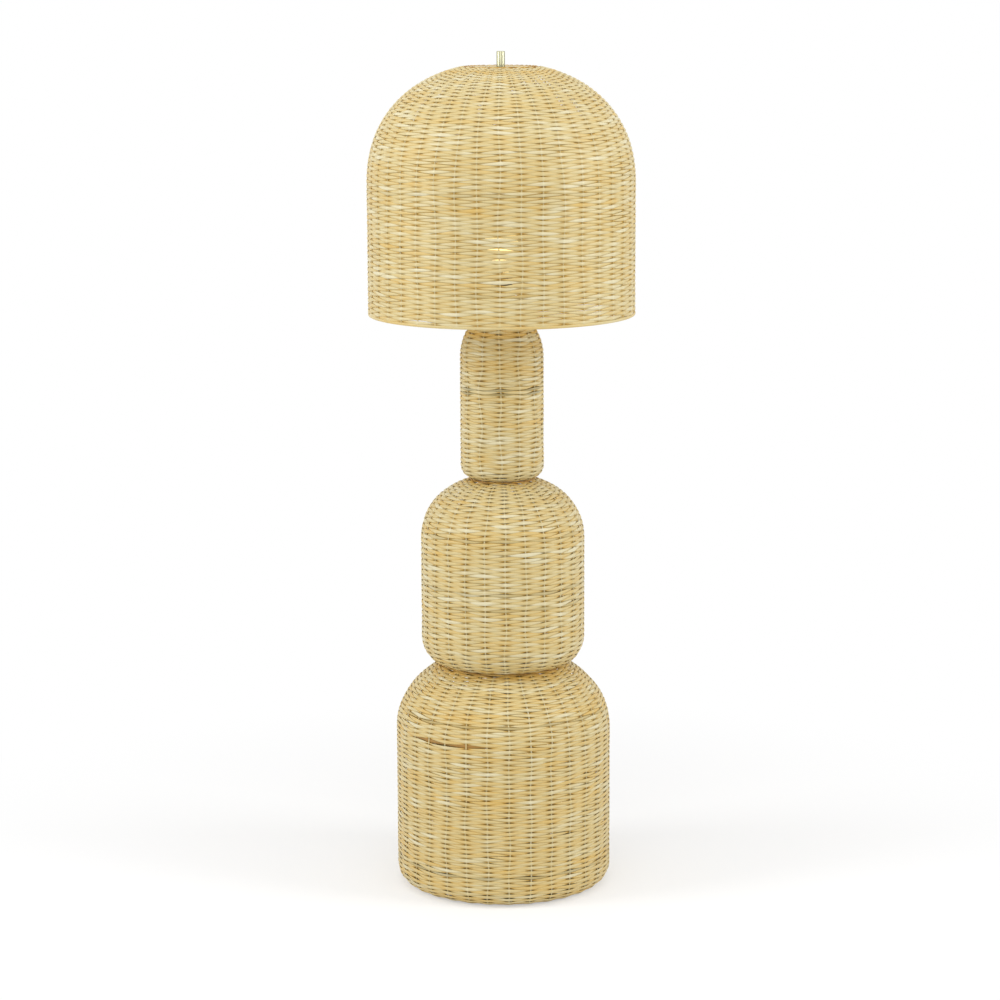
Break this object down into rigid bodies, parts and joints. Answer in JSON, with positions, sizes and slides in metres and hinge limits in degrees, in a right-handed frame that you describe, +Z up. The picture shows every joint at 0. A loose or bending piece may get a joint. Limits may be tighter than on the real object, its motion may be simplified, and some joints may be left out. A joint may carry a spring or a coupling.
{
  "type": "floor lamp",
  "caption": "Floor lamp of stacked woven rattan drums on a weighted base, with a large woven dome shade on a harp and a slim finial.",
  "frame": {"origin": "on the floor, at the lamp's axis", "axes": "+Z up along the lamp's axis, +X to the lamp's right seen from the front, +Y to the rear, where the lead's grommet is"},
  "size_m": [0.4798, 0.48, 1.516],
  "materials": {
    "rattan": "satin",
    "cane": "satin",
    "cast_iron": "matt painted",
    "zinc_steel": "zinc plated",
    "painted_wire": "satin",
    "brass": "brushed",
    "champagne_brass": "polished",
    "bulb_metal": "satin",
    "phenolic": "satin",
    "bulb_diffuser": "opal",
    "rubber": "matt",
    "felt": "matt"
  },
  "bodies": {
    "stand": {"base_felt_pad": "felt", "base_weight": "cast_iron", "base_bolt": "zinc_steel", "base_washer": "zinc_steel", "base_woven_shell": "rattan", "base_foot_hoop": "cane", "cord_grommet": "rubber", "tube_foot_plug": "zinc_steel", "base_tube": "zinc_steel", "lower_junction_plate": "zinc_steel", "lower_connector": "zinc_steel", "mid_woven_shell": "rattan", "mid_tube": "zinc_steel", "upper_junction_plate": "zinc_steel", "upper_connector": "zinc_steel", "neck_woven_shell": "rattan", "neck_tube": "zinc_steel", "neck_cap": "brass", "top_bush": "zinc_steel", "lamp_nipple": "zinc_steel", "cap_lock_nut": "brass", "riser_collar": "brass", "harp_saddle": "brass", "harp": "brass", "socket_cap": "phenolic", "socket_shell": "phenolic", "socket_interior": "phenolic"},
    "shade": {"shade_woven_shell": "rattan", "shade_rim_hoop": "cane", "shade_spider": "painted_wire"},
    "finial": {"finial": "champagne_brass"},
    "bulb": {"bulb_cap": "bulb_metal", "bulb_glass": "bulb_diffuser"},
    "switch": {"switch_knob": "phenolic"},
    "left_sleeve": {"harp_sleeve_left": "brass"},
    "right_sleeve": {"harp_sleeve_right": "brass"}
  },
  "joints": [
    {"name": "shade_lift", "type": "slide", "parent": "stand", "child": "shade", "axis": [0, 0, 1], "range_m": [0, 0.45]},
    {"name": "finial_turn", "type": "hinge", "parent": "shade", "child": "finial", "pos_m": [0, 0, 1.492], "axis": [0, 0, 1], "continuous": true},
    {"name": "bulb_turn", "type": "hinge", "parent": "stand", "child": "bulb", "pos_m": [0, 0, 1.15], "axis": [0, 0, 1], "continuous": true},
    {"name": "switch_turn", "type": "hinge", "parent": "stand", "child": "switch", "pos_m": [0, -0.029, 1.0905], "axis": [0, 1, 0], "continuous": true},
    {"name": "left_sleeve_lift", "type": "slide", "parent": "stand", "child": "left_sleeve", "axis": [0, 0, 1], "range_m": [0, 0.015]},
    {"name": "right_sleeve_lift", "type": "slide", "parent": "stand", "child": "right_sleeve", "axis": [0, 0, 1], "range_m": [0, 0.015]}
  ]
}
